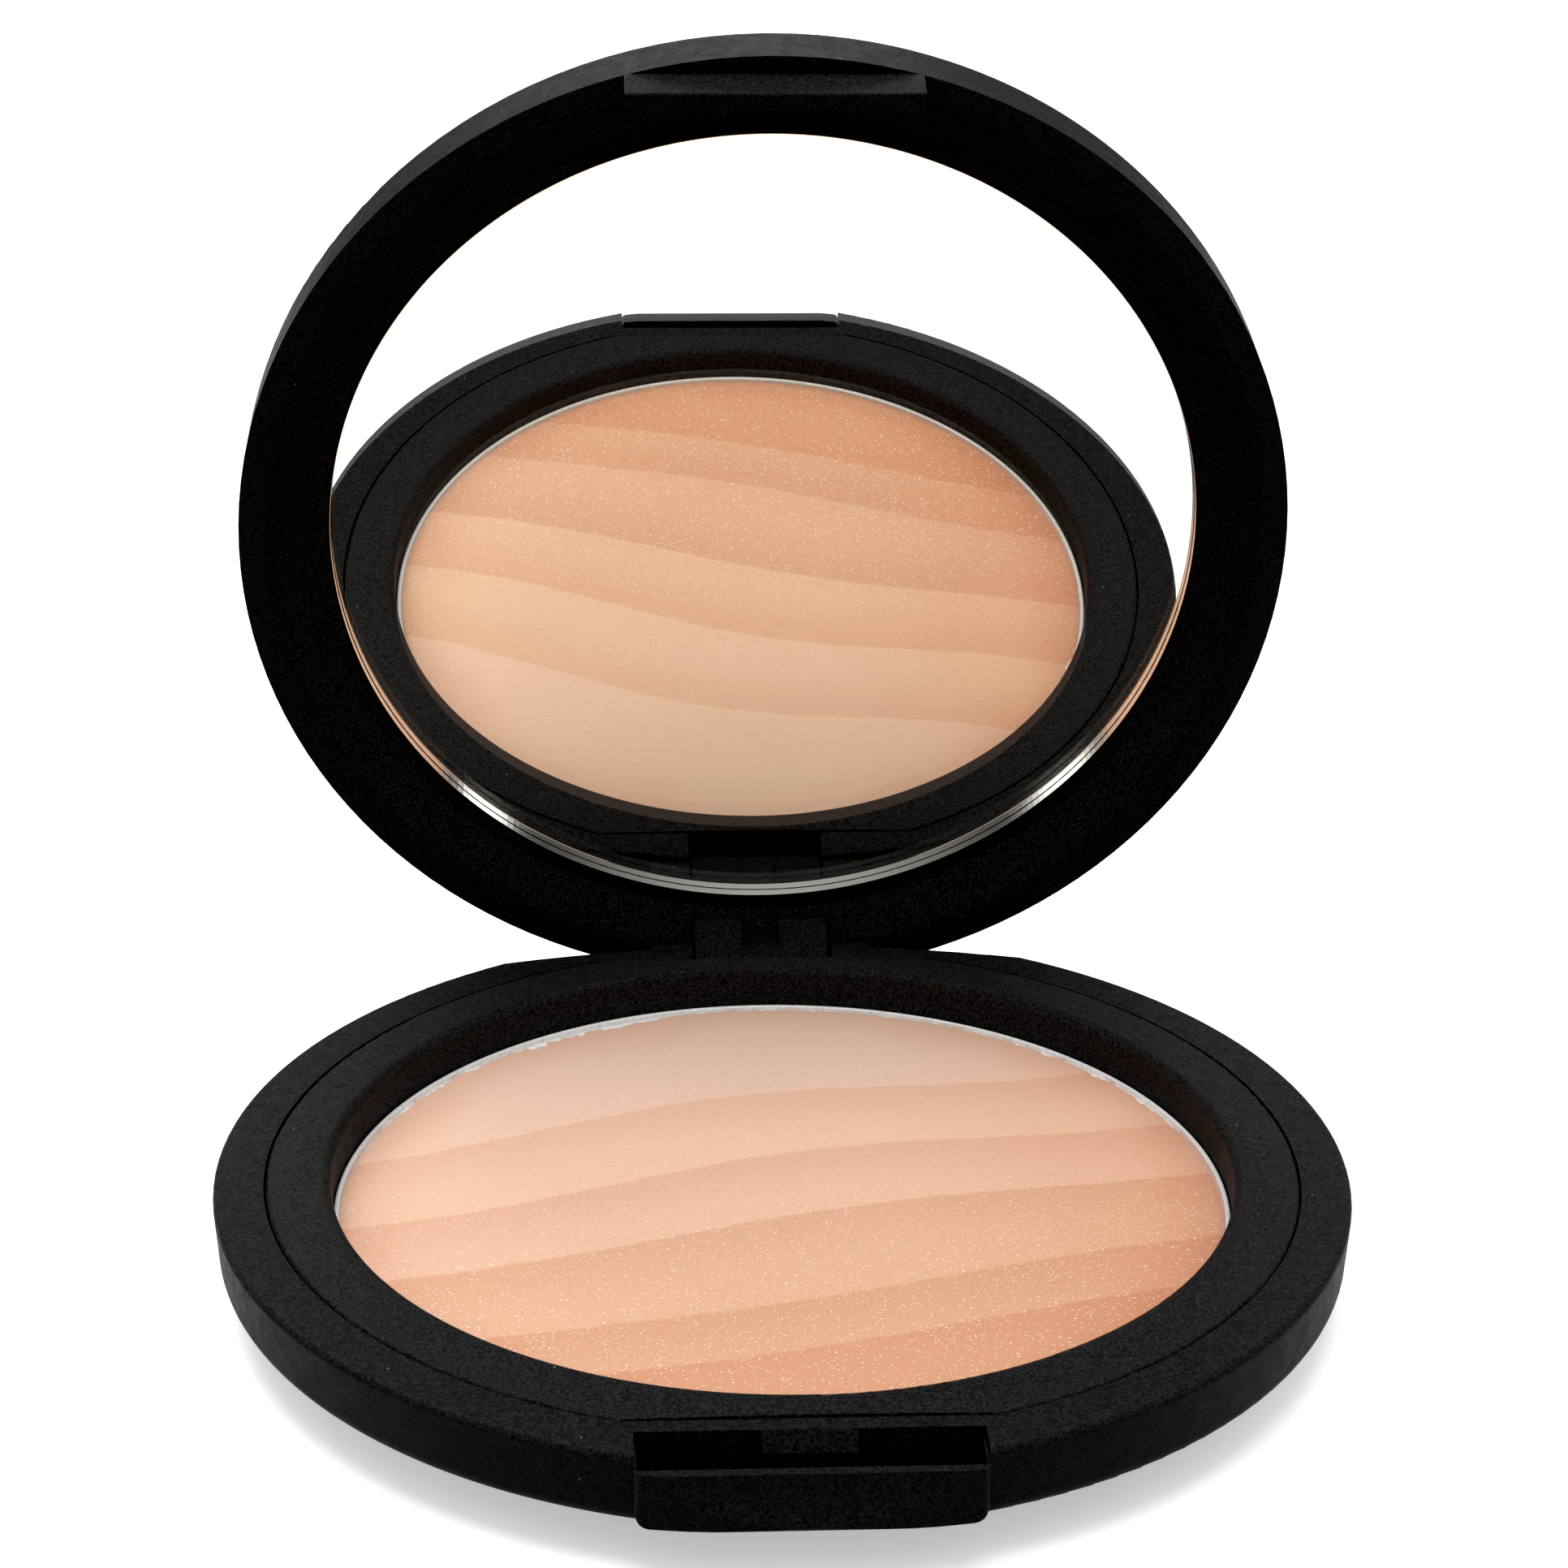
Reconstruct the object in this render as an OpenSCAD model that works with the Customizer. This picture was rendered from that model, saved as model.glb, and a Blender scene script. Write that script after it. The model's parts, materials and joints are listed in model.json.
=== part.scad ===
// Round powder compact with a mirror in its lid, standing open.
// Origin: centre of the foot, on the surface it stands on.
// +X right, -Y towards the latch, +Y towards the hinge.

/* [Whole] */
// Outer diameter of the base and the lid
outer_d = 74; // [73.5:0.1:75]
// Angle at which the lid stands open
lid_open_angle = 78; // [0:1:105]
// Gap between the closed lid's rim and the base's rim
lid_gap = 0.15; // [0.1:0.01:0.25]

/* [Base] */
// Height of the base's rim above the table
base_h = 7.8; // [7.6:0.05:8.2]
// Height of the side wall, from its bottom corner to the rim
band_h = 4.6; // [4.4:0.05:4.8]
// How far the side wall leans in towards the bottom
wall_taper = 0.2; // [0:0.05:0.4]
// Rounding of the rim's outer edge
rim_edge_r = 0.4; // [0.2:0.05:0.6]
// Rounding of the side wall's bottom corner
bottom_edge_r = 1.1; // [0.8:0.1:1.2]
// Slope of the underside between the wall and the foot
under_angle = 24; // [22:0.5:25]
// Thickness of the floor under the pan
floor_t = 1.2; // [1.1:0.05:1.3]
// Radius of the shallow arc that flattens the base beside the hinge
relief_r = 71; // [65:1:80]
// Distance of that arc from the centre, on the middle line
relief_y = 34.25; // [34:0.05:34.4]

/* [Tray ring] */
// Radius of the seam between the base's rim and the tray ring
seam_r = 33.7; // [33.4:0.1:34]
// Gap at the seam
seam_gap = 0.15; // [0.1:0.01:0.2]
// Distance of the straight stretch of the seam behind the latch
seam_flat_y = 31.9; // [31.5:0.05:32]
// How far the well's mouth stands above the rim
bezel_rise = 0.27; // [0.15:0.01:0.35]
// How far the tray ring's outer edge stands above the rim
seam_rise = 0.06; // [0:0.01:0.12]
// Thickness of the flange that lies in the rim
flange_t = 1.3; // [1.1:0.05:1.4]
// Radius of the well
well_r = 29.5; // [29.5:0.01:29.6]
// Rounding of the well's mouth
well_edge_r = 0.6; // [0.4:0.1:0.7]

/* [Pan and powder] */
// Outer radius of the pan
pan_r = 29.4; // [29.3:0.01:29.42]
// Thickness of the pan's sheet
pan_t = 0.35; // [0.3:0.05:0.5]
// Depth of the pan's rim below the base's rim
pan_drop = 2.7; // [2.5:0.05:2.9]
// Depth of the powder's edge below the pan's rim
powder_drop = 0.15; // [0.1:0.05:0.3]
// Rise of the powder's middle over its edge
powder_crown = 0.2; // [0.1:0.05:0.3]
// Thickness of the adhesive under the pan
pan_glue_t = 0.15; // [0.1:0.05:0.2]

/* [Lid] */
// Height of the lid's side, up to its crown
lid_h = 5.5; // [5.4:0.05:5.8]
// Rise of the crown over the lid's edge
lid_crown = 0.35; // [0.1:0.05:0.5]
// Rounding of the lid's outer edge
lid_edge_r = 1.7; // [1.2:0.1:1.9]
// Width of the lid's flat rim
lid_rim_w = 2.15; // [2:0.05:2.4]
// Depth of the ledge round the mirror
ledge_depth = 2.08; // [1.9:0.01:2.2]
// Outer radius of that ledge
ledge_r = 32; // [31.8:0.1:32.3]

/* [Mirror] */
// Radius of the mirror
mirror_r = 30.8; // [30.5:0.05:30.85]
// Thickness of the glass
glass_t = 1.3; // [1.1:0.05:1.4]
// Ground chamfer on the glass's front edge
glass_chamfer = 0.15; // [0.1:0.05:0.25]

/* [Latch] */
// Width of the notch for the lid's tab
notch_w = 20; // [19.8:0.1:20.4]
// Distance of the notch's back wall
notch_back_y = 33.1; // [33:0.05:33.2]
// Depth of the notch's pocket below the rim
pocket_depth = 2.6; // [2.55:0.05:2.8]
// Depth of the thumb lip's top edge below the rim
lip_drop = 0.85; // [0.7:0.05:1]
// Distance of the thumb lip's lower edge
lip_y = 37; // [36.9:0.05:37.2]
// Width of the catch tooth
tooth_w = 5.46; // [5:0.02:6]
// Width of the lid's tab
tab_w = 19.5; // [19.2:0.1:19.5]
// Length of the tab below the lid's rim
tab_len = 2.5; // [2.2:0.05:2.5]

/* [Hinge] */
// Distance of the hinge pin from the centre
hinge_y = 34.7; // [34.65:0.05:34.8]
// Height of the hinge pin above the table
hinge_z = 5; // [4.95:0.05:5.1]
// Radius of the knuckles
knuckle_r = 2.45; // [2.2:0.05:2.5]
// Radius of the pin
pin_r = 0.6; // [0.5:0.05:0.7]
// Width of the rear notch that the lid's knuckle turns in
hinge_notch_w = 10.4; // [10.4:0.1:10.8]
// Distance of the rear notch's front wall
hinge_notch_y = 31.4; // [31.35:0.05:31.5]

/* [Hidden] */
$fn = 96;
eps = 0.05;
far = 60;

rim_r = outer_d / 2;
black_plastic = [0.055, 0.055, 0.06];
steel_grey = [0.72, 0.73, 0.75];

// side wall and underside
wall_low_r = rim_r - wall_taper;
corner_c = [wall_low_r - bottom_edge_r, base_h - band_h + 1];
slope_top = [corner_c.x + bottom_edge_r * sin(under_angle), corner_c.y - bottom_edge_r * cos(under_angle)];
foot_r = slope_top.x - slope_top.y / tan(under_angle);
rim_c = [rim_r - rim_edge_r, base_h - rim_edge_r];

// cavity of the base
cavity_r = 31.25;
cavity_floor_r = 28.4;
cavity_slope_z = floor_t + (cavity_r - cavity_floor_r) * tan(under_angle);
cavity_rear_y = 30.3;
label_r = 24;
label_t = 0.2;

// tray ring
bezel_z = base_h + bezel_rise;
flange_z = base_h - flange_t + 0.25;
skirt_r = 31;
skirt_z = 3.4;
skirt_corner = 0.3;
bezel_edge_r = 0.2;
ring_outer_r = seam_r - seam_gap / 2;
recess_r = seam_r + seam_gap / 2;
ring_rear_y = hinge_notch_y - 0.1;
skirt_rear_y = cavity_rear_y - 0.15;

// pan and powder
pan_z = floor_t + pan_glue_t;
pan_top = base_h - pan_drop;
pan_corner_r = 1.5;
powder_edge_z = pan_top - powder_drop;
powder_edge_r = 0.25;

// lid, in the closed position
lid_z = base_h + lid_gap;
lid_edge_c = [rim_r - lid_edge_r, lid_h - lid_edge_r];
crown_r = (pow(lid_edge_c.x, 2) + pow(lid_crown, 2)) / (2 * lid_crown);
rim_inner_r = rim_r - lid_rim_w;
slope_soft_r = 2;
recess_wall_r = mirror_r + 0.2;
silver_t = 0.08;
mirror_glue_t = 0.2;
recess_depth = ledge_depth + glass_t + silver_t + mirror_glue_t;

// latch
pocket_front_y = 35.75;
pocket_half_w = tab_w / 2 + 0.1;
pocket_z = base_h - pocket_depth;
lip_root_y = 35;
lip_top_z = base_h - lip_drop;
lip_low_z = base_h - band_h + 0.25;
lip_top_y = 36.4;
lip_plan_r = 60;
lip_half_w = notch_w / 2;
lip_end_r = 0.5;
lip_corner_r = 0.9;
lip_edge_r = 0.4;
scoop_sag = 0.15;
tooth_out = 0.52;
tab_root_y = 35.78;
tab_lean = 0.36;
tab_inner_y = 34.2;
bead_w = 6.8;
bead_y = 33.72;

// hinge
ear_w = 3;
ear_web_y = 32;
notch_floor_z = 2.7;
notch_floor_y = 33;
notch_rib_w = 0.6;
notch_rib_t = 0.35;
lug_inner_x = 1.4;
lug_outer_x = hinge_notch_w / 2 - 0.25;
lug_front_y = hinge_notch_y + 0.15;
web_front_y = 33;
lug_rear_y = 36.6;
lug_root = 0.9;
fixed_bore_r = pin_r + 0.02;
turning_bore_r = pin_r + 0.05;

// Points of an arc about c, from angle a0 to a1
function arc(c, r, a0, a1, steps = 10) =
    [for (i = [0:steps]) let (a = a0 + (a1 - a0) * i / steps) [c.x + r * cos(a), c.y + r * sin(a)]];

// The front tangent point on a circle of radius r about the origin, for a line from p
function front_tangent(p, r) = let (a = atan2(p.y, p.x) + acos(r / norm(p))) [r * cos(a), r * sin(a)];

// A bar along X from x0 to x1, whose outline is drawn in the Y-Z plane
module bar_x(x0, x1) {
    translate([x0, 0, 0]) rotate([90, 0, 90]) linear_extrude(x1 - x0) children();
}

// A cylinder along the hinge line from x0 to x1
module hinge_rod(r, x0, x1) {
    translate([x0, hinge_y, hinge_z]) rotate([0, 90, 0]) cylinder(h = x1 - x0, r = r);
}

// Turns the closed lid's pieces to the angle at which the lid stands
module opened() {
    translate([0, hinge_y, hinge_z])
        rotate([-lid_open_angle, 0, 0])
        translate([0, -hinge_y, -hinge_z])
        children();
}

// ---------------------------------------------------------------- base

module base_outline() {
    polygon([
        [0, 0], [foot_r, 0], slope_top, [wall_low_r, corner_c.y],
        [rim_r, rim_c.y], [rim_c.x, base_h], [0, base_h]
    ]);
    translate(corner_c) circle(r = bottom_edge_r);
    translate(rim_c) circle(r = rim_edge_r);
}

// What stays of the base beside the hinge, so that the lid's rim can swing down behind it
module relief_body() {
    relief_c = [relief_r - rim_edge_r, base_h - rim_edge_r];
    translate([0, relief_y - relief_r, 0]) rotate_extrude($fn = 180) {
        polygon([[0, -1], [relief_r, -1], [relief_r, relief_c.y], [relief_c.x, base_h], [0, base_h]]);
        translate(relief_c) circle(r = rim_edge_r);
    }
}

module cavity() {
    intersection() {
        rotate_extrude($fn = 180)
            polygon([
                [0, floor_t], [cavity_floor_r, floor_t], [cavity_r, cavity_slope_z], [cavity_r, far], [0, far]
            ]);
        translate([-far, -far, 0]) cube([2 * far, far + cavity_rear_y, far]);
    }
}

// The recess in the rim that the tray ring's flange lies in
module flange_recess() {
    front_y = seam_flat_y + seam_gap / 2;
    intersection() {
        translate([0, 0, flange_z - 0.05]) cylinder(h = far, r = recess_r, $fn = 180);
        translate([-far, -front_y, 0]) cube([2 * far, front_y + hinge_notch_y, far]);
    }
}

// The pocket behind the thumb lip that the tab's tip drops into
module pocket() {
    translate([-pocket_half_w, -pocket_front_y, pocket_z])
        cube([2 * pocket_half_w, pocket_front_y - notch_back_y, far]);
}

module latch_notch() {
    pocket();
    translate([-notch_w / 2, -far, lip_top_z]) cube([notch_w, far - notch_back_y, far]);
}

module lip_side() {
    top = [-lip_top_y, lip_top_z];
    low = [-lip_y, lip_low_z + lip_edge_r];
    chord = norm(top - low);
    scoop_r = (pow(chord / 2, 2) + pow(scoop_sag, 2)) / (2 * scoop_sag);
    outward = [low.y - top.y, top.x - low.x] / chord;
    scoop_c = (top + low) / 2 + outward * (scoop_r - scoop_sag);
    difference() {
        union() {
            polygon([
                [-lip_root_y, lip_low_z], [-lip_y + lip_edge_r, lip_low_z], low, top, [-lip_root_y, lip_top_z]
            ]);
            translate([-lip_y + lip_edge_r, lip_low_z + lip_edge_r]) circle(r = lip_edge_r);
        }
        translate(scoop_c) circle(r = scoop_r, $fn = 180);
    }
}

module lip_plan() {
    end_x = lip_half_w - lip_end_r;
    end_y = lip_plan_r - lip_y - sqrt(pow(lip_plan_r, 2) - pow(end_x, 2)) + lip_end_r;
    intersection() {
        translate([0, lip_plan_r - lip_y]) circle(r = lip_plan_r, $fn = 360);
        union() {
            translate([-end_x, -far]) square([2 * end_x, far]);
            for (side = [-1, 1]) translate([side * end_x, end_y]) circle(r = lip_end_r);
        }
    }
}

// The lip seen from the front, with its lower corners rounded
module lip_front() {
    corner_x = lip_half_w - lip_corner_r;
    translate([-lip_half_w, lip_low_z + lip_corner_r]) square([2 * lip_half_w, far]);
    translate([-corner_x, lip_low_z]) square([2 * corner_x, far]);
    for (side = [-1, 1]) translate([side * corner_x, lip_low_z + lip_corner_r]) circle(r = lip_corner_r);
}

// The fixed lip under the notch that a thumb holds while the lid is lifted
module thumb_lip() {
    difference() {
        intersection() {
            bar_x(-lip_half_w, lip_half_w) lip_side();
            linear_extrude(far) lip_plan();
            rotate([90, 0, 0]) linear_extrude(far) lip_front();
        }
        pocket();
    }
}

// What the lip's scooped face takes off the side wall in front of it
module lip_clearing() {
    intersection() {
        difference() {
            bar_x(-lip_half_w, lip_half_w)
                translate([-lip_y - 1, lip_low_z])
                square([lip_y + 1 - pocket_front_y, lip_top_z - lip_low_z]);
            thumb_lip();
        }
        cylinder(h = far, r = rim_r + 1);
    }
}

module catch_tooth() {
    bar_x(-tooth_w / 2, tooth_w / 2)
        polygon([
            [-notch_back_y + eps, base_h], [-notch_back_y, base_h],
            [-notch_back_y - tooth_out, base_h - 1.25], [-notch_back_y - tooth_out, base_h - 1.4],
            [-notch_back_y + eps, base_h - 1.55]
        ]);
}

module rear_notch() {
    translate([-hinge_notch_w / 2, hinge_notch_y, notch_floor_z]) cube([hinge_notch_w, far, far]);
    translate([-hinge_notch_w / 2, notch_floor_y, -1]) cube([hinge_notch_w, far, far]);
}

// The thin upright rib in the middle of the rear notch's front wall
module notch_rib() {
    translate([-notch_rib_w / 2, hinge_notch_y - eps, notch_floor_z - eps])
        cube([notch_rib_w, notch_rib_t + eps, base_h - notch_floor_z - 0.2]);
}

// A fixed knuckle from x0 to x1, with the web that joins it to the base
module fixed_knuckle(x0, x1) {
    web_z = knuckle_r - 0.15;
    hinge_rod(knuckle_r, x0, x1);
    translate([x0, ear_web_y, hinge_z - web_z]) cube([x1 - x0, hinge_y - ear_web_y, 2 * web_z]);
}

module base_shell() {
    ear_x = hinge_notch_w / 2;
    color(black_plastic)
    difference() {
        union() {
            difference() {
                intersection() {
                    rotate_extrude($fn = 180) base_outline();
                    relief_body();
                }
                cavity();
                flange_recess();
                latch_notch();
                lip_clearing();
                rear_notch();
            }
            thumb_lip();
            catch_tooth();
            notch_rib();
            fixed_knuckle(-ear_x - ear_w, -ear_x);
            fixed_knuckle(ear_x, ear_x + ear_w);
        }
        hinge_rod(fixed_bore_r, -far, far);
        translate([0, 0, -1]) cylinder(h = 1 + label_t, r = label_r + 0.1);
    }
}

module ring_outline() {
    mouth_c = [well_r - 0.05 + well_edge_r, bezel_z - well_edge_r];
    edge_z = base_h + seam_rise;
    edge_c = [ring_outer_r - bezel_edge_r, edge_z - bezel_edge_r];
    polygon([
        [well_r, skirt_z], [skirt_r - skirt_corner, skirt_z], [skirt_r, skirt_z + skirt_corner],
        [skirt_r, flange_z], [ring_outer_r, flange_z], [ring_outer_r, edge_c.y], [edge_c.x, edge_z],
        [mouth_c.x, bezel_z], [mouth_c.x - well_edge_r, mouth_c.y]
    ]);
    translate(mouth_c) circle(r = well_edge_r);
    translate(edge_c) circle(r = bezel_edge_r);
}

module base_insert() {
    color([0.07, 0.07, 0.075])
    difference() {
        intersection() {
            rotate_extrude($fn = 180) ring_outline();
            translate([-far, -seam_flat_y + seam_gap / 2, 0])
                cube([2 * far, seam_flat_y - seam_gap / 2 + ring_rear_y, far]);
        }
        translate([-far, skirt_rear_y, -1]) cube([2 * far, far, flange_z + 1]);
    }
}

// ---------------------------------------------------------------- pan and powder

module powder_pan() {
    inner_r = pan_r - pan_t;
    corner = [pan_r - pan_corner_r, pan_z + pan_corner_r];
    color(steel_grey)
    rotate_extrude($fn = 180) {
        polygon(concat(
            [[0, pan_z]],
            arc(corner, pan_corner_r, -90, 0),
            [[pan_r, pan_top - pan_t / 2], [inner_r, pan_top - pan_t / 2]],
            arc(corner, pan_corner_r - pan_t, 0, -90),
            [[0, pan_z + pan_t]]
        ));
        translate([pan_r - pan_t / 2, pan_top - pan_t / 2]) circle(r = pan_t / 2);
    }
}

module pressed_powder() {
    cake_r = pan_r - pan_t;
    low_c = [pan_r - pan_corner_r, pan_z + pan_corner_r];
    dome_r = (pow(cake_r, 2) + pow(powder_crown, 2)) / (2 * powder_crown);
    half_a = asin((cake_r - powder_edge_r) / dome_r);
    color([0.87, 0.62, 0.47])
    rotate_extrude($fn = 180)
        polygon(concat(
            [[0, pan_z + pan_t]],
            arc(low_c, pan_corner_r - pan_t, -90, 0),
            arc([cake_r - powder_edge_r, powder_edge_z - powder_edge_r], powder_edge_r, 0, 90, 6),
            arc([0, powder_edge_z + powder_crown - dome_r], dome_r, 90 - half_a, 90, 8)
        ));
}

module pan_adhesive() {
    color([0.85, 0.83, 0.72]) translate([0, 0, floor_t]) cylinder(h = pan_glue_t, r = 20);
}

module base_label() {
    color([0.8, 0.8, 0.8]) cylinder(h = label_t, r = label_r);
}

// ---------------------------------------------------------------- hinge and lid

module hinge_pin() {
    half_len = hinge_notch_w / 2 + ear_w - 0.1;
    color(steel_grey) hinge_rod(pin_r, -half_len, half_len);
}

module lid_outline() {
    slope_a = atan(ledge_depth / (rim_inner_r - ledge_r));
    soft_c = [rim_inner_r + slope_soft_r * tan(slope_a / 2), slope_soft_r];
    difference() {
        union() {
            polygon(concat(
                [[rim_r, 0], [rim_r, lid_edge_c.y], [lid_edge_c.x, lid_h]],
                arc([0, lid_h + lid_crown - crown_r], crown_r, 90 - asin(lid_edge_c.x / crown_r), 90, 12),
                [
                    [0, recess_depth], [recess_wall_r, recess_depth],
                    [recess_wall_r, ledge_depth], [ledge_r, ledge_depth]
                ],
                arc(soft_c, slope_soft_r, 270 - slope_a, 270, 8)
            ));
            translate(lid_edge_c) circle(r = lid_edge_r);
        }
        translate([-far, -far]) square([far, 2 * far]);
    }
}

module latch_tab() {
    tip_r = 0.2;
    tip_z = lid_z - tab_len;
    root_z = lid_z + 0.9;
    intersection() {
        bar_x(-tab_w / 2, tab_w / 2) {
            polygon([
                [-tab_root_y, root_z], [-tab_root_y, lid_z], [-tab_root_y + tab_lean, tip_z + tip_r],
                [-tab_root_y + tab_lean + tip_r, tip_z], [-tab_inner_y, tip_z], [-tab_inner_y, root_z]
            ]);
            translate([-tab_root_y + tab_lean + tip_r, tip_z + tip_r]) circle(r = tip_r);
        }
        cylinder(h = far, r = rim_r - 0.02, $fn = 180);
    }
}

// The bead on the tab's inner face that snaps in under the catch tooth
module catch_bead() {
    bar_x(-bead_w / 2, bead_w / 2)
        polygon([
            [-tab_inner_y - eps, lid_z - 1.3], [-bead_y, lid_z - 1.75],
            [-bead_y, lid_z - 2.05], [-tab_inner_y - eps, lid_z - 2.3]
        ]);
}

// A block that joins the lid's rim to its knuckle. Its front face runs from front_y at the rim down onto
// the knuckle, and its top lies in the lid's sloping inner wall.
module hinge_lug(x0, x1, front_y) {
    axis = [hinge_y, hinge_z];
    touch = front_tangent([front_y, lid_z] - axis, knuckle_r);
    top_y = front_y + 1;
    slope_z = (rim_inner_r - top_y) * ledge_depth / (rim_inner_r - ledge_r) + 0.1;
    bar_x(x0, x1)
        polygon([
            [front_y, lid_z], axis + touch, axis, [lug_rear_y, hinge_z],
            [lug_rear_y, lid_z + lug_root], [top_y, lid_z + slope_z]
        ]);
}

module lid_shell() {
    color(black_plastic)
    opened()
    difference() {
        union() {
            translate([0, 0, lid_z]) rotate_extrude($fn = 180) lid_outline();
            latch_tab();
            catch_bead();
            hinge_rod(knuckle_r, -lug_outer_x, lug_outer_x);
            hinge_lug(-lug_outer_x, -lug_inner_x, lug_front_y);
            hinge_lug(lug_inner_x, lug_outer_x, lug_front_y);
            hinge_lug(-lug_inner_x - eps, lug_inner_x + eps, web_front_y);
        }
        hinge_rod(turning_bore_r, -far, far);
    }
}

module mirror_glass() {
    color([0.8, 0.9, 0.92, 0.4])
    opened()
    translate([0, 0, lid_z + ledge_depth])
    rotate_extrude($fn = 180)
        polygon([
            [0, 0], [mirror_r - glass_chamfer, 0], [mirror_r, glass_chamfer],
            [mirror_r, glass_t], [0, glass_t]
        ]);
}

module mirror_silvering() {
    color([0.9, 0.9, 0.92])
    opened()
    translate([0, 0, lid_z + ledge_depth + glass_t]) cylinder(h = silver_t, r = mirror_r - 0.05, $fn = 180);
}

module mirror_adhesive() {
    color([0.8, 0.8, 0.78])
    opened()
    translate([0, 0, lid_z + recess_depth - mirror_glue_t]) cylinder(h = mirror_glue_t, r = 27);
}

base_shell();
base_insert();
powder_pan();
pressed_powder();
pan_adhesive();
base_label();
hinge_pin();
lid_shell();
mirror_glass();
mirror_silvering();
mirror_adhesive();
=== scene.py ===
"""Looks of the powder compact: its materials, the pressed cake's own surface, the studio and the camera."""

import json
import math

import bmesh
import bpy
from mathutils import Matrix, Vector, noise


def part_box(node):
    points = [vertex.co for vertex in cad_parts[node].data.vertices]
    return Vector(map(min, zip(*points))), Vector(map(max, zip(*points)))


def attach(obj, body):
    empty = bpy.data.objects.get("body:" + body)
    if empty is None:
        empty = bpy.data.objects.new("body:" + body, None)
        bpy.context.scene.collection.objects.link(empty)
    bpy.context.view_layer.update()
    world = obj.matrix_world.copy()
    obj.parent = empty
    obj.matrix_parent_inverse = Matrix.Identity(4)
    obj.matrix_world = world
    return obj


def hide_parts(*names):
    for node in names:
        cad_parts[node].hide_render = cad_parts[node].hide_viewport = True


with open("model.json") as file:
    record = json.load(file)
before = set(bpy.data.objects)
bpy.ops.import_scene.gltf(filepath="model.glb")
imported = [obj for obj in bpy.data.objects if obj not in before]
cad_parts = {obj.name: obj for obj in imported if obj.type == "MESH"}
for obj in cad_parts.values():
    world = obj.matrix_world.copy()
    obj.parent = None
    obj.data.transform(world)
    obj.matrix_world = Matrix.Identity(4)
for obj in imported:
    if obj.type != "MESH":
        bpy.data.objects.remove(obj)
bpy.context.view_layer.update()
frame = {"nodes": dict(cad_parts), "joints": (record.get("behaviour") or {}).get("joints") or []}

MM = 0.001
SEED = 11

# ---------------------------------------------------------------- camera
# The camera looks from in front and above, a little to the left of the middle.
LENS = 77.18
SENSOR = 36.0
CAMERA_YAW = math.radians(2.90)
CAMERA_ELEVATION = math.radians(21.25)
CAMERA_ROLL = math.radians(-0.507)
CAMERA_DISTANCE = 223.70 * MM
AIM_ABOVE_ORIGIN = 31.73 * MM
AIM_LEFT_OF_ORIGIN = 0.134 * MM


def add_camera():
    forward = Vector((
        math.cos(CAMERA_ELEVATION) * math.sin(CAMERA_YAW),
        math.cos(CAMERA_ELEVATION) * math.cos(CAMERA_YAW),
        -math.sin(CAMERA_ELEVATION),
    ))
    right = Vector((math.cos(CAMERA_YAW), -math.sin(CAMERA_YAW), 0))
    up = right.cross(forward)
    place = up * AIM_ABOVE_ORIGIN - right * AIM_LEFT_OF_ORIGIN - forward * CAMERA_DISTANCE
    turned_right = right * math.cos(CAMERA_ROLL) - up * math.sin(CAMERA_ROLL)
    turned_up = right * math.sin(CAMERA_ROLL) + up * math.cos(CAMERA_ROLL)
    data = bpy.data.cameras.new("camera")
    data.lens = LENS
    data.sensor_width = SENSOR
    data.clip_start = 0.01
    data.clip_end = 20
    camera = bpy.data.objects.new("camera", data)
    axes = Matrix((turned_right, turned_up, -forward)).transposed()
    camera.matrix_world = Matrix.Translation(place) @ axes.to_4x4()
    bpy.context.scene.collection.objects.link(camera)
    bpy.context.scene.camera = camera


# ---------------------------------------------------------------- studio
BLACK_POINT = 0.003
FLOOR_SIZE = 6.0
FLOOR_GLOW = 0.45
DOME_OVERHEAD = 0.92
DOME_REAR = 0.6
DOME_FRONT = 0.05
DOME_RIGHT = 0.16
DOME_LEFT = 0.26
DOME_BELOW = 0.01


def add_dome(world):
    """A soft dome, bright overhead and dim in front and below. The camera itself sees plain white."""
    world.use_nodes = True
    tree = world.node_tree

    def made(kind, *values, **settings):
        node = tree.nodes.new(kind)
        for key, value in settings.items():
            setattr(node, key, value)
        for index, value in enumerate(values):
            if isinstance(value, bpy.types.NodeSocket):
                tree.links.new(value, node.inputs[index])
            else:
                node.inputs[index].default_value = value
        return node.outputs[0]

    def eased(value, low, high, to_low, to_high):
        return made("ShaderNodeMapRange", value, low, high, to_low, to_high, interpolation_type="SMOOTHSTEP")

    direction = tree.nodes.new("ShaderNodeTexCoord").outputs["Generated"]
    split = tree.nodes.new("ShaderNodeSeparateXYZ")
    tree.links.new(direction, split.inputs[0])
    x, y, z = split.outputs
    side = eased(x, -1, 1, DOME_LEFT, DOME_RIGHT)
    ahead = eased(y, -0.9, 0, DOME_FRONT, side)
    around = eased(y, 0, 0.9, ahead, DOME_REAR)
    above = eased(z, 0.05, 0.85, around, DOME_OVERHEAD)
    dome = eased(z, -0.12, 0.02, DOME_BELOW, above)
    seen = tree.nodes.new("ShaderNodeLightPath").outputs["Is Camera Ray"]
    strength = eased(seen, 0, 1, dome, 1.0)
    background = tree.nodes["Background"]
    background.inputs["Color"].default_value = (1, 1, 1, 1)
    tree.links.new(strength, background.inputs["Strength"])


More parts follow.
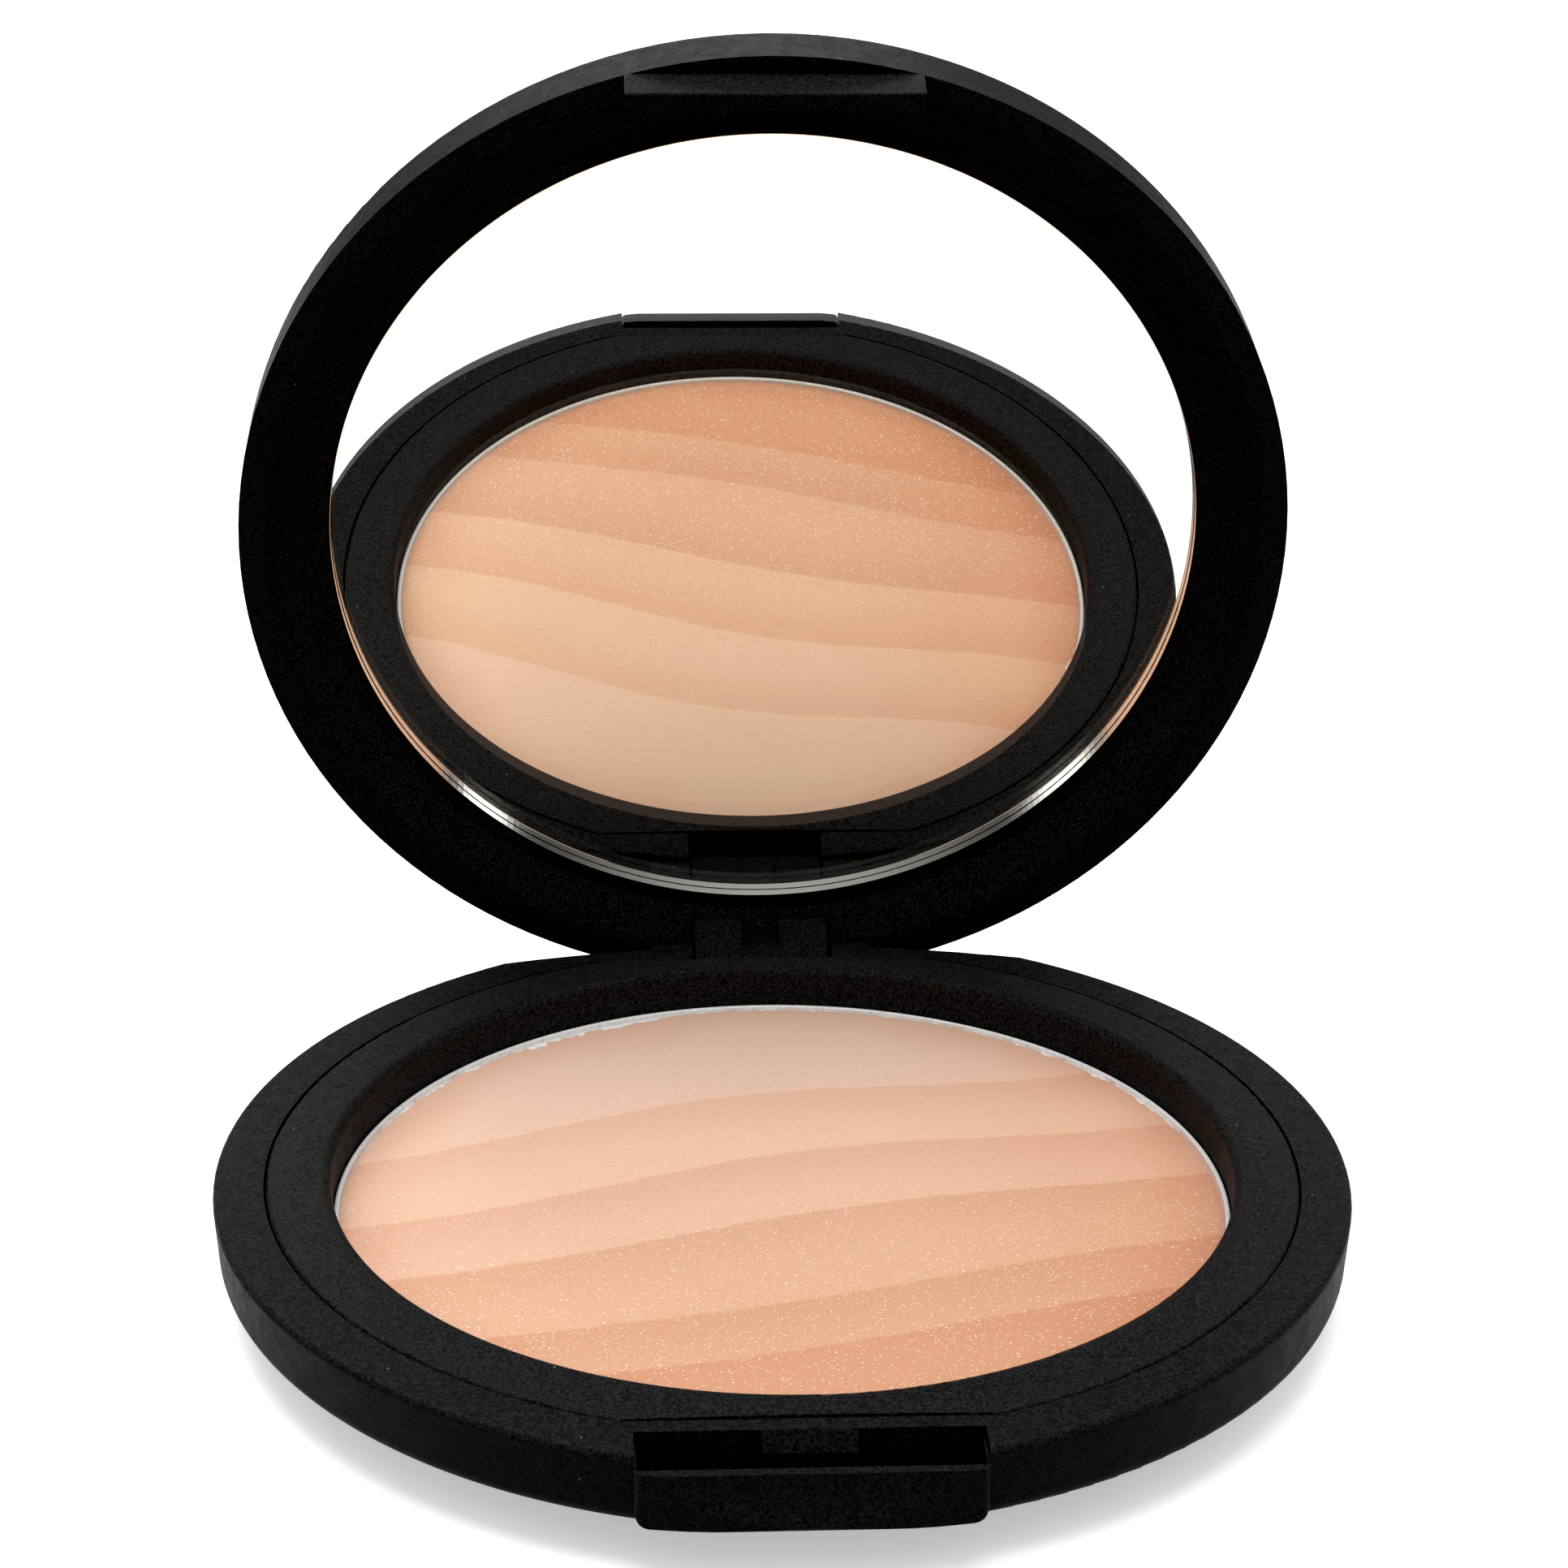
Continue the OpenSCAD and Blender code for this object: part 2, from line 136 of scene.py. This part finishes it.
def add_area_light(name, place, aim, size, power, colour=(1, 1, 1)):
    data = bpy.data.lights.new(name, "AREA")
    data.shape = "RECTANGLE"
    data.size = size[0]
    data.size_y = size[1]
    data.energy = power
    data.color = colour
    light = bpy.data.objects.new(name, data)
    light.location = place
    light.rotation_euler = (Vector(aim) - Vector(place)).to_track_quat("-Z", "Y").to_euler()
    bpy.context.scene.collection.objects.link(light)


def add_studio():
    scene = bpy.context.scene
    scene.view_settings.view_transform = "Standard"
    scene.view_settings.use_curve_mapping = True
    curves = scene.view_settings.curve_mapping
    curves.black_level = (BLACK_POINT,) * 3
    curves.update()
    world = bpy.data.worlds.new("studio")
    scene.world = world
    add_dome(world)
    add_area_light("top_softbox", (-0.08, -0.1, 1.1), (0, 0, 0.03), (0.8, 0.6), 7.8)
    add_area_light("back_softbox", (-0.15, 0.9, 0.75), (0, 0, 0.05), (0.9, 0.5), 7.0)

    mesh = bpy.data.meshes.new("floor")
    half = FLOOR_SIZE / 2
    low = -0.02 * MM
    corners = [(-half, -half, low), (half, -half, low), (half, half, low), (-half, half, low)]
    mesh.from_pydata(corners, [], [(0, 1, 2, 3)])
    floor = bpy.data.objects.new("floor", mesh)
    floor.visible_diffuse = False
    scene.collection.objects.link(floor)
    paper = Shader("floor_paper")
    grain = paper.noise(scale=900, detail=3)
    paper.colour(paper.ramp(grain, [(0.3, (0.9, 0.9, 0.9)), (0.7, (0.94, 0.94, 0.94))]))
    paper.set("Roughness", 0.9)
    paper.set("Emission Color", (1, 1, 1, 1))
    paper.set("Emission Strength", FLOOR_GLOW)
    mesh.materials.append(paper.material)


# ---------------------------------------------------------------- shader helper
class Shader:
    """A Principled material with short calls for the nodes that it is built from."""

    def __init__(self, name):
        self.material = bpy.data.materials.new(name)
        self.material.use_nodes = True
        self.tree = self.material.node_tree
        self.surface = self.tree.nodes["Principled BSDF"]
        self.place = self.node("ShaderNodeTexCoord").outputs["Object"]

    def node(self, kind, **settings):
        made = self.tree.nodes.new(kind)
        for key, value in settings.items():
            setattr(made, key, value)
        return made

    def link(self, source, target):
        self.tree.links.new(source, target)

    def feed(self, socket, value):
        """Links a socket or sets a plain value."""
        if isinstance(value, bpy.types.NodeSocket):
            self.link(value, socket)
        else:
            socket.default_value = value

    def set(self, socket, value):
        self.feed(self.surface.inputs[socket], value)

    def colour(self, value):
        self.set("Base Color", value)

    def noise(self, scale, detail=2.0, rough=0.5, place=None):
        made = self.node("ShaderNodeTexNoise")
        made.inputs["Scale"].default_value = scale
        made.inputs["Detail"].default_value = detail
        made.inputs["Roughness"].default_value = rough
        self.link(place or self.place, made.inputs["Vector"])
        return made.outputs["Fac"]

    def voronoi(self, scale, output="Distance", feature="F1"):
        made = self.node("ShaderNodeTexVoronoi", feature=feature)
        made.inputs["Scale"].default_value = scale
        self.link(self.place, made.inputs["Vector"])
        return made.outputs[output]

    def math(self, operation, a, b=0.0, c=0.0, clamp=False):
        made = self.node("ShaderNodeMath", operation=operation, use_clamp=clamp)
        self.feed(made.inputs[0], a)
        self.feed(made.inputs[1], b)
        self.feed(made.inputs[2], c)
        return made.outputs[0]

    def smooth(self, value, low, high, to_low=0.0, to_high=1.0):
        """Goes smoothly from to_low to to_high as value goes from low to high."""
        made = self.node("ShaderNodeMapRange", interpolation_type="SMOOTHSTEP")
        for index, number in enumerate((value, low, high, to_low, to_high)):
            self.feed(made.inputs[index], number)
        return made.outputs[0]

    def mix(self, share, first, second, blend="MIX"):
        made = self.node("ShaderNodeMix", data_type="RGBA", blend_type=blend)
        self.feed(made.inputs[0], share)
        for socket, value in ((made.inputs[6], first), (made.inputs[7], second)):
            self.feed(socket, value if isinstance(value, bpy.types.NodeSocket) else (*value, 1))
        return made.outputs[2]

    def ramp(self, value, stops):
        made = self.node("ShaderNodeValToRGB")
        points = made.color_ramp.elements
        while len(points) < len(stops):
            points.new(0.5)
        for point, (position, colour) in zip(points, stops):
            point.position = position
            point.color = (*colour, 1)
        self.link(value, made.inputs[0])
        return made.outputs[0]

    def axes(self):
        made = self.node("ShaderNodeSeparateXYZ")
        self.link(self.place, made.inputs[0])
        return made.outputs

    def bump(self, height, strength, distance):
        made = self.node("ShaderNodeBump")
        made.inputs["Strength"].default_value = strength
        made.inputs["Distance"].default_value = distance
        self.link(height, made.inputs["Height"])
        self.link(made.outputs[0], self.surface.inputs["Normal"])

    def specks(self, scale, size, share):
        """1 on small round specks, about one in every 1/share cells of 1/scale metres, and 0 elsewhere."""
        chance = self.node("ShaderNodeSeparateColor")
        self.link(self.voronoi(scale, "Color"), chance.inputs[0])
        chosen = self.math("GREATER_THAN", chance.outputs[0], 1 - share)
        near = self.math("LESS_THAN", self.voronoi(scale), size)
        return self.math("MULTIPLY", chosen, near)


def dress(node, shader):
    """Puts a material on every slot of a CAD node, on its object."""
    for place in frame["nodes"][node].material_slots:
        place.link = "OBJECT"
        place.material = shader.material


# ---------------------------------------------------------------- materials
# A low index keeps the soft-touch surface dark at grazing angles.
PLASTIC_IOR = 1.085


def black_plastic(name, low, high, roughness):
    """Soft black moulding with a fine spark-eroded grain, faint mottling and a few specks of pale dust."""
    s = Shader(name)
    speckle = s.noise(scale=5200, detail=3, rough=0.7)
    body = s.mix(s.smooth(speckle, 0.35, 0.68), (low,) * 3, (high, high, high * 1.04))
    dust = s.specks(scale=620, size=0.045, share=0.10)
    lint = s.specks(scale=1300, size=0.05, share=0.03)
    body = s.mix(s.math("MULTIPLY", dust, 0.5), body, (0.3, 0.27, 0.22))
    body = s.mix(s.math("MULTIPLY", lint, 0.6), body, (0.34, 0.2, 0.12))
    s.colour(body)
    wear = s.noise(scale=900, detail=3)
    s.set("Roughness", s.smooth(wear, 0.3, 0.7, roughness - 0.05, roughness + 0.05))
    s.set("IOR", PLASTIC_IOR)
    grain = s.noise(scale=9000, detail=2, rough=0.6)
    s.bump(grain, strength=0.35, distance=0.02 * MM)
    return s


def satin_metal(name, colour, roughness, bare=1.0):
    """Drawn sheet or wire. A bare share below 1 is a surface dulled by a film of powder."""
    s = Shader(name)
    streak = s.noise(scale=3000, detail=3)
    s.colour(s.mix(s.smooth(streak, 0.3, 0.7), colour, tuple(c * 0.86 for c in colour)))
    s.set("Metallic", bare)
    s.set("Roughness", s.smooth(streak, 0.3, 0.7, roughness - 0.06, roughness + 0.08))
    s.bump(streak, strength=0.2, distance=0.01 * MM)
    return s


# ---------------------------------------------------------------- powder
# Each band starts at a gently swinging line across the cake: how far its middle lies behind the
# centre, how much it swings, and where the swing starts, all of it leaning back to the right.
BAND_LEAN = 0.24
BAND_WAVE = 50.0
BAND_LINES = [
    (13.5, 1.5, 2.0),
    (4.2, 1.3, 1.4),
    (-3.9, 0.8, 0.9),
    (-13.6, -0.6, 1.8),
    (-19.3, -0.6, 1.6),
]
BAND_COLOURS = [
    (0.84, 0.56, 0.41),
    (0.82, 0.525, 0.37),
    (0.79, 0.475, 0.325),
    (0.74, 0.415, 0.265),
    (0.70, 0.375, 0.222),
    (0.67, 0.335, 0.182),
]


# Pale dust lies along the rear edge, in mm from the centre, and widely where the edge is chipped.
RIM_DUST_START = 28.8
CHIP_REACH = 0.55


def pressed_powder_material():
    """Diagonal bands that run from pale beige at the back to a shimmering peach at the front."""
    s = Shader("powder")
    x, y, _ = s.axes()
    x_mm = s.math("MULTIPLY", x, 1 / MM)
    y_mm = s.math("MULTIPLY", y, 1 / MM)
    ragged = s.math("MULTIPLY", s.math("SUBTRACT", s.noise(scale=450, detail=3), 0.5), 0.5)
    leaning = s.math("MULTIPLY", x_mm, BAND_LEAN)
    colour = None
    painted_step_shade = None
    for (middle, swing, start), tint in zip(BAND_LINES, BAND_COLOURS[1:]):
        wave = s.math("SINE", s.math("MULTIPLY_ADD", x_mm, 2 * math.pi / BAND_WAVE, start))
        line = s.math("ADD", leaning, s.math("MULTIPLY_ADD", wave, swing, middle))
        ahead = s.math("ADD", s.math("SUBTRACT", line, y_mm), ragged)
        entered = s.smooth(ahead, -0.15, 0.15)
        colour = s.mix(entered, colour or BAND_COLOURS[0], tint)
        # Painted shade: each band's colour darkens just in front of its line and fades out over 6.5 mm,
        # standing in for the shade of the pressed step.
        fade = s.smooth(ahead, 0, 6.5, 1, 0)
        edge = s.math("MULTIPLY", entered, fade)
        painted_step_shade = edge if painted_step_shade is None else s.math("MAXIMUM", painted_step_shade, edge)
    # The painted shade in front of each band line is multiplied into the colour here.
    colour = s.mix(painted_step_shade, colour, (0.955, 0.895, 0.87), blend="MULTIPLY")

    flat = s.node("ShaderNodeCombineXYZ")
    s.link(x_mm, flat.inputs[0])
    s.link(y_mm, flat.inputs[1])
    reach = s.node("ShaderNodeVectorMath", operation="LENGTH")
    s.link(flat.outputs[0], reach.inputs[0])
    # Painted shade: the cake turns darker and warmer towards its rim, under the wall of the well, with a
    # cloudy inner edge.
    cloud = s.math("MULTIPLY", s.math("SUBTRACT", s.noise(scale=120, detail=2), 0.5), 6)
    rim = s.smooth(s.math("ADD", reach.outputs["Value"], cloud), 23, 29.5)
    colour = s.mix(s.math("MULTIPLY", rim, 0.7), colour, (0.92, 0.80, 0.74), blend="MULTIPLY")
    # Painted shade: the cake turns darker and warmer towards the right, the side away from the light.
    right = s.smooth(x_mm, 5, 27)
    colour = s.mix(right, colour, (0.93, 0.84, 0.78), blend="MULTIPLY")

    grain = s.noise(scale=4200, detail=3, rough=0.75)
    colour = s.mix(s.smooth(grain, 0.35, 0.65, 0, 0.9), colour, (0.93, 0.90, 0.87), blend="MULTIPLY")
    forward = s.smooth(y_mm, 12, -10, 0.2, 1)
    fine = s.math("MULTIPLY", s.specks(scale=5200, size=0.36, share=0.22), 0.5)
    bright = s.math("MULTIPLY", s.specks(scale=3000, size=0.22, share=0.09), 0.85)
    sparkle = s.math("MULTIPLY", s.math("MAXIMUM", fine, bright), forward)
    colour = s.mix(sparkle, colour, (1.0, 0.84, 0.66))
    uneven = s.math("MULTIPLY", s.math("SUBTRACT", s.noise(scale=900, detail=4), 0.5), 1.7)
    ring = s.math("ADD", reach.outputs["Value"], uneven)
    chip = s.math("MULTIPLY", s.smooth(x_mm, -21, -16), s.smooth(x_mm, -6, -9))
    ring = s.math("MULTIPLY_ADD", chip, CHIP_REACH, ring)
    bare = s.math("MULTIPLY", s.smooth(ring, RIM_DUST_START, RIM_DUST_START + 0.08), s.smooth(y_mm, 6, 12))
    s.colour(s.mix(bare, colour, (0.96, 0.94, 0.91)))
    s.set("Metallic", s.math("MULTIPLY", sparkle, 0.3))
    s.set("Roughness", s.math("MULTIPLY_ADD", sparkle, -0.4, 0.85))
    s.set("Specular IOR Level", 0.25)
    s.set("Sheen Weight", 0.5)
    s.set("Sheen Roughness", 0.5)
    s.set("Sheen Tint", (0.92, 0.95, 1, 1))
    s.bump(grain, strength=0.5, distance=0.05 * MM)
    return s


CAKE_RINGS = 110
CAKE_SPOKES = 480
CAKE_CROWN = 0.2 * MM
CAKE_SHOULDER = 0.45 * MM
CAKE_EDGE_DROP = 0.22 * MM
BAND_STEP = 0.04 * MM
CHIP_MIDDLE = math.radians(118)
CHIP_SPREAD = math.radians(16)
CHIP_DEPTH = 0.35 * MM


def band_relief(x, y):
    """The pressed relief: each band dips just in front of its line and rises again towards the next."""
    height = 0.0
    for middle, swing, start in BAND_LINES:
        wave = math.sin(x / MM * 2 * math.pi / BAND_WAVE + start)
        ahead = middle + BAND_LEAN * x / MM + swing * wave - y / MM
        if ahead > -0.3:
            settled = min(1.0, (ahead + 0.3) / 0.6)
            height = -BAND_STEP * settled * math.exp(-max(ahead, 0) / 2.5)
    return height


def cake_height(x, y, radius, edge_z):
    """Height of the cake's surface over the point x, y."""
    reach = math.hypot(x, y)
    height = edge_z + CAKE_CROWN * (1 - (reach / radius) ** 2)
    height += band_relief(x, y)
    grain = noise.noise(Vector((x, y, 0)) * 900)
    height += grain * 0.008 * MM
    from_edge = radius - reach
    if from_edge < CAKE_SHOULDER:
        height -= CAKE_EDGE_DROP * (1 - from_edge / CAKE_SHOULDER) ** 2
    turn = math.atan2(y, x)
    chipped = max(0.0, 1 - abs(turn - CHIP_MIDDLE) / CHIP_SPREAD)
    ragged = noise.noise(Vector((turn * 14, reach / MM * 0.5, SEED))) + 0.25
    width = (0.25 + 0.75 * max(0.0, ragged)) * MM * chipped
    if from_edge < width:
        crumbs = 0.5 + 0.5 * noise.noise(Vector((x, y, 1)) * 2500)
        height -= CHIP_DEPTH * min(1.0, (width - from_edge) / (0.15 * MM)) * crumbs
    return height


def build_cake():
    """The pressed cake as a closed disc: its crowned, banded top, its side and its flat bottom."""
    low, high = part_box("pressed_powder")
    radius = (high.x - low.x) / 2
    edge_z = high.z - CAKE_CROWN
    shape = bmesh.new()
    top_middle = shape.verts.new((0, 0, cake_height(0, 0, radius, edge_z)))
    rings = []
    for ring in range(1, CAKE_RINGS + 1):
        reach = radius * (ring / CAKE_RINGS) ** 0.9
        points = []
        for spoke in range(CAKE_SPOKES):
            turn = 2 * math.pi * spoke / CAKE_SPOKES
            if turn > math.pi:
                turn -= 2 * math.pi
            x = reach * math.cos(turn)
            y = reach * math.sin(turn)
            points.append(shape.verts.new((x, y, cake_height(x, y, radius, edge_z))))
        rings.append(points)
    for inset, z in ((0, low.z + 1.4 * MM), (0.5 * MM, low.z + 0.3 * MM), (1.2 * MM, low.z)):
        points = []
        for spoke in range(CAKE_SPOKES):
            turn = 2 * math.pi * spoke / CAKE_SPOKES
            reach = radius - inset
            points.append(shape.verts.new((reach * math.cos(turn), reach * math.sin(turn), z)))
        rings.append(points)
    bottom_middle = shape.verts.new((0, 0, low.z))
    for spoke in range(CAKE_SPOKES):
        after = (spoke + 1) % CAKE_SPOKES
        shape.faces.new((top_middle, rings[0][spoke], rings[0][after]))
        shape.faces.new((bottom_middle, rings[-1][after], rings[-1][spoke]))
        for inner, outer in zip(rings, rings[1:]):
            shape.faces.new((inner[spoke], outer[spoke], outer[after], inner[after]))
    mesh = bpy.data.meshes.new("powder_cake")
    shape.to_mesh(mesh)
    shape.free()
    for face in mesh.polygons:
        face.use_smooth = True
    cake = bpy.data.objects.new("powder_cake", mesh)
    bpy.context.scene.collection.objects.link(cake)
    mesh.materials.append(pressed_powder_material().material)
    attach(cake, "base")
    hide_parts("pressed_powder")


# ---------------------------------------------------------------- pan
PAN_SPOKES = 480
PAN_SHEET = 0.35 * MM
PAN_CORNER = 1.5 * MM


def arc(middle, radius, first, last, steps):
    """Points of an arc in a (radius, height) outline, between two angles in degrees."""
    turns = [math.radians(first + (last - first) * step / steps) for step in range(steps + 1)]
    return [(middle[0] + radius * math.cos(t), middle[1] + radius * math.sin(t)) for t in turns]


def build_pan():
    """The drawn sheet pan with a rounded bottom corner and a fully rounded rim."""
    low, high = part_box("powder_pan")
    radius = (high.x - low.x) / 2
    half = PAN_SHEET / 2
    corner = (radius - PAN_CORNER, low.z + PAN_CORNER)
    outline = arc(corner, PAN_CORNER, -90, 0, 10)
    outline += arc((radius - half, high.z - half), half, 0, 180, 14)
    outline += arc(corner, PAN_CORNER - PAN_SHEET, 0, -90, 10)
    pan = lathe("drawn_pan", outline, PAN_SPOKES)
    for face in pan.data.polygons:
        face.use_smooth = len(face.vertices) == 4
    pan.data.materials.append(satin_metal("pan_metal", (0.88, 0.86, 0.84), 0.6, bare=0.25).material)
    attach(pan, "base")
    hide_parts("powder_pan")


# ---------------------------------------------------------------- mirror
GLASS_SPOKES = 360
GLASS_CHAMFER = 0.03 * MM
SILVER_GAP = 0.004 * MM


def glass_material(name, colour, low_roughness, high_roughness):
    s = Shader(name)
    smear = s.noise(scale=40, detail=3)
    s.colour((*colour, 1))
    s.set("Roughness", s.smooth(smear, 0.4, 0.8, low_roughness, high_roughness))
    s.set("Transmission Weight", 1.0)
    s.set("IOR", 1.52)
    return s


def opening():
    """The turn that takes the lid from closed to the angle at which it stands at rest."""
    hinge = frame["joints"][0]
    pin = Matrix.Translation(Vector(hinge["pos_m"]))
    turn = Matrix.Rotation(math.radians(-hinge["range_deg"][0]), 4, Vector(hinge["axis"]))
    return pin @ turn @ pin.inverted()


def closed_box(node):
    """Lowest and highest corner of a lid's node with the lid closed."""
    back = opening().inverted()
    points = [back @ v.co for v in frame["nodes"][node].data.vertices]
    low = Vector([min(p[i] for p in points) for i in range(3)])
    high = Vector([max(p[i] for p in points) for i in range(3)])
    return low, high


def lathe(name, outline, spokes):
    """A closed solid turned about Z from (radius, height) points that start and end off the axis."""
    shape = bmesh.new()
    rings = []
    for reach, height in outline:
        turns = [2 * math.pi * spoke / spokes for spoke in range(spokes)]
        rings.append([shape.verts.new((reach * math.cos(t), reach * math.sin(t), height)) for t in turns])
    for lower, upper in zip(rings, rings[1:]):
        for spoke in range(spokes):
            after = (spoke + 1) % spokes
            shape.faces.new((lower[spoke], lower[after], upper[after], upper[spoke]))
    shape.faces.new(reversed(rings[0]))
    shape.faces.new(rings[-1])
    mesh = bpy.data.meshes.new(name)
    shape.to_mesh(mesh)
    shape.free()
    made = bpy.data.objects.new(name, mesh)
    bpy.context.scene.collection.objects.link(made)
    return made


def build_mirror_pane():
    """The pane with polished faces and a ground chamfer and edge. It stops just short of the silvering."""
    low, high = closed_box("mirror_glass")
    radius = (high.x - low.x) / 2
    back = high.z - SILVER_GAP
    outline = [(radius - GLASS_CHAMFER, low.z), (radius, low.z + GLASS_CHAMFER), (radius, back)]
    pane = lathe("mirror_pane", outline, GLASS_SPOKES)
    mesh = pane.data
    mesh.materials.append(glass_material("glass", (0.985, 0.995, 0.99), 0.0, 0.008).material)
    mesh.materials.append(glass_material("glass_edge", (0.93, 0.98, 0.95), 0.08, 0.16).material)
    for face in mesh.polygons:
        face.material_index = 1 if len(face.vertices) == 4 else 0
    mesh.transform(opening())
    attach(pane, "lid")
    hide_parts("mirror_glass")


def silvering_material():
    s = Shader("mirror")
    haze = s.noise(scale=60, detail=2)
    s.colour(s.mix(s.smooth(haze, 0.3, 0.8), (0.93, 0.905, 0.84), (0.91, 0.89, 0.825)))
    s.set("Metallic", 1.0)
    s.set("Roughness", 0.0)
    return s


def adhesive_material():
    s = Shader("adhesive")
    streak = s.noise(scale=700, detail=3)
    s.colour(s.mix(s.smooth(streak, 0.3, 0.7), (0.72, 0.7, 0.62), (0.8, 0.78, 0.7)))
    s.set("Roughness", 0.45)
    s.bump(streak, strength=0.3, distance=0.03 * MM)
    return s


def label_material():
    s = Shader("label")
    fibre = s.noise(scale=2500, detail=3)
    s.colour(s.mix(s.smooth(fibre, 0.3, 0.7), (0.72, 0.72, 0.71), (0.78, 0.78, 0.77)))
    s.set("Roughness", s.smooth(fibre, 0.3, 0.7, 0.3, 0.4))
    s.bump(fibre, strength=0.15, distance=0.01 * MM)
    return s


add_camera()
add_studio()
dress("base_shell", black_plastic("black_plastic", 0.003, 0.018, 0.5))
dress("lid_shell", black_plastic("black_plastic_lid", 0.003, 0.018, 0.5))
# Painted light: the insert, whose plateau faces up to the light, gets a lighter copy of the shells' black
# plastic.
dress("base_insert", black_plastic("black_plastic_insert", 0.004, 0.022, 0.5))
dress("hinge_pin", satin_metal("pin_steel", (0.6, 0.6, 0.62), 0.3))
dress("mirror_silvering", silvering_material())
dress("mirror_adhesive", adhesive_material())
dress("pan_adhesive", adhesive_material())
dress("base_label", label_material())
build_pan()
build_cake()
build_mirror_pane()
